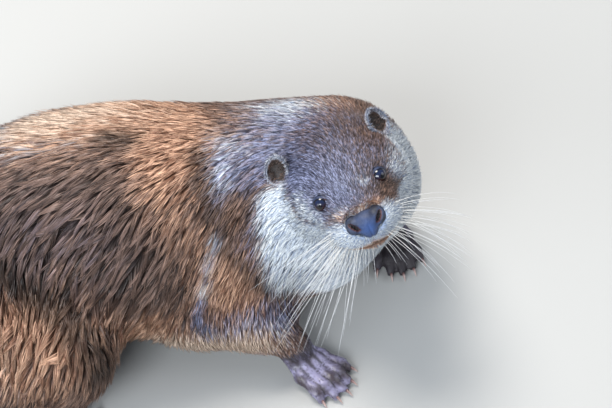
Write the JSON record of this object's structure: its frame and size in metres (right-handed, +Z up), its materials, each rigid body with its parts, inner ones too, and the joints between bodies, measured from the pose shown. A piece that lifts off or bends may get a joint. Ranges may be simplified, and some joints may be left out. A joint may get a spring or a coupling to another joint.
{
  "type": "river otter",
  "caption": "Life-size still model of a river otter crouched on all fours, head turned to its right, tail laid out on the floor behind.",
  "frame": {"origin": "on the floor, under the middle of the box round the animal", "axes": "+X to the front of the trunk, away from the tail; +Y to the animal's left; +Z up from the soles"},
  "size_m": [0.834, 0.3542, 0.206],
  "materials": {
    "coat_brown": "dense fur, damp guard hairs, matt",
    "coat_grey": "short fur, matt",
    "bare_skin": "nearly bare webbed paws, slightly moist",
    "nose_pad": "moist, pebbled",
    "eye": "wet, glossy"
  },
  "bodies": {
    "root": {"head": "coat_grey", "ear_left": "coat_grey", "ear_right": "coat_grey", "eye_left": "eye", "eye_right": "eye", "nose": "nose_pad", "neck": "coat_brown", "trunk": "coat_brown", "tail_root": "coat_brown", "tail_middle": "coat_brown", "tail_tip": "coat_brown", "fore_right_upper_arm": "coat_brown", "fore_right_forearm": "coat_brown", "fore_right_paw": "bare_skin", "fore_left_upper_arm": "coat_brown", "fore_left_forearm": "coat_brown", "fore_left_paw": "bare_skin", "hind_right_thigh": "coat_brown", "hind_right_shank": "coat_brown", "hind_right_foot": "bare_skin", "hind_left_thigh": "coat_brown", "hind_left_shank": "coat_brown", "hind_left_foot": "bare_skin"}
  },
  "joints": []
}
